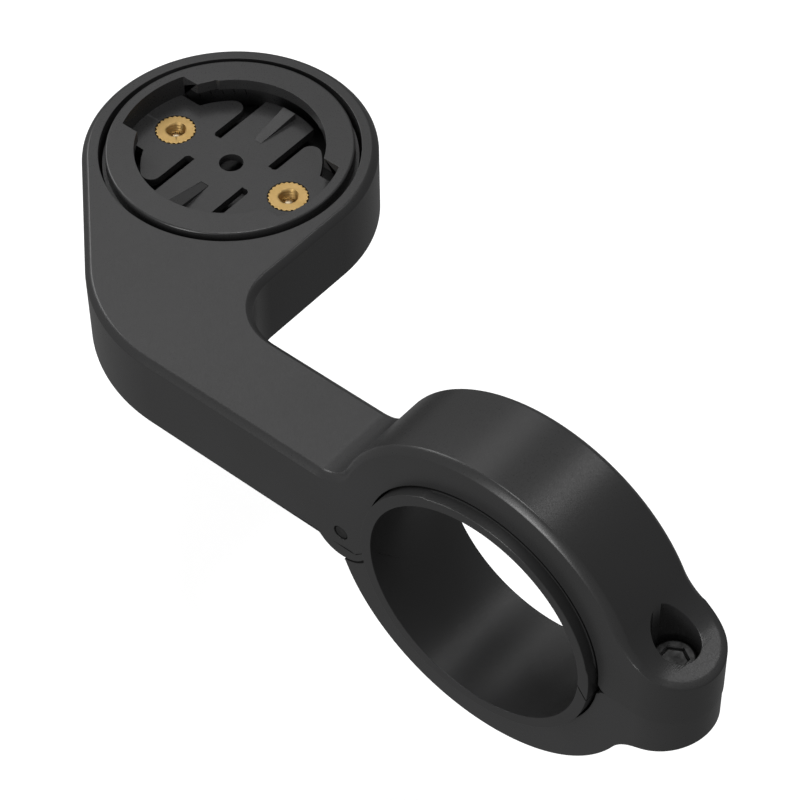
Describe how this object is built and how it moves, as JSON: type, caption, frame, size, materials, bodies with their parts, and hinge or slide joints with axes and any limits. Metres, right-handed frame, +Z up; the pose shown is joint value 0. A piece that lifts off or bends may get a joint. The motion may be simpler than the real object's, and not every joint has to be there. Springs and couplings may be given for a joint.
{
  "type": "out-front handlebar computer mount",
  "caption": "Cranked plastic arm with a hinged clamp for a bicycle handlebar at one end and a round quarter-turn socket for a cycling computer at the other.",
  "frame": {"origin": "on the axis of the handlebar, in the middle of the clamp's width", "axes": "+X along the handlebar towards the side the head is offset to, +Y forward from the handlebar to the head, +Z up, out of the socket for the computer"},
  "size_m": [0.0576, 0.1221, 0.0462],
  "materials": {
    "moulded_black": "fine satin texture",
    "moulded_black_jaw": "fine satin texture",
    "pin_steel": "blackened steel",
    "sleeve_black": "satin",
    "washer_steel": "blackened steel",
    "bolt_black": "black oxide",
    "nut_steel": "plain zinc",
    "puck_black": "satin",
    "insert_brass": "knurled, bright",
    "screw_steel": "bright"
  },
  "bodies": {
    "mount": {"mount_body": "moulded_black", "hinge_pin": "pin_steel", "bar_sleeve": "sleeve_black", "quarter_turn_puck": "puck_black", "threaded_insert_front": "insert_brass", "threaded_insert_rear": "insert_brass", "puck_screw_front": "screw_steel", "puck_screw_rear": "screw_steel"},
    "jaw": {"clamp_jaw": "moulded_black_jaw", "clamp_nut": "nut_steel"},
    "bolt_carrier": {"bolt_washer": "washer_steel"},
    "bolt": {"clamp_bolt": "bolt_black"},
    "tongue_right": {"detent_tongue_right": "puck_black"},
    "tongue_left": {"detent_tongue_left": "puck_black"}
  },
  "joints": [
    {"name": "jaw_hinge", "type": "hinge", "parent": "mount", "child": "jaw", "pos_m": [0, 0.0221, -0.00345], "axis": [1, 0, 0], "range_deg": [0, 50]},
    {"name": "bolt_lift", "type": "slide", "parent": "mount", "child": "bolt_carrier", "axis": [0, 0, 1], "range_m": [0, 0.0025]},
    {"name": "bolt_turn", "type": "hinge", "parent": "bolt_carrier", "child": "bolt", "pos_m": [0, -0.02375, 0], "axis": [0, 0, 1], "range_deg": [0, 1800]},
    {"name": "tongue_right_flex", "type": "hinge", "parent": "mount", "child": "tongue_right", "pos_m": [0.0326, 0.0723, 0.002], "axis": [0, 1, 0], "range_deg": [0, 5], "stiffness_Nm_per_rad": 0.02},
    {"name": "tongue_left_flex", "type": "hinge", "parent": "mount", "child": "tongue_left", "pos_m": [0.0262, 0.0723, 0.002], "axis": [0, -1, 0], "range_deg": [0, 5], "stiffness_Nm_per_rad": 0.02}
  ],
  "couplings": [
    {"joint": "bolt_turn", "follows": "bolt_lift", "rad_per_m": 12566}
  ]
}
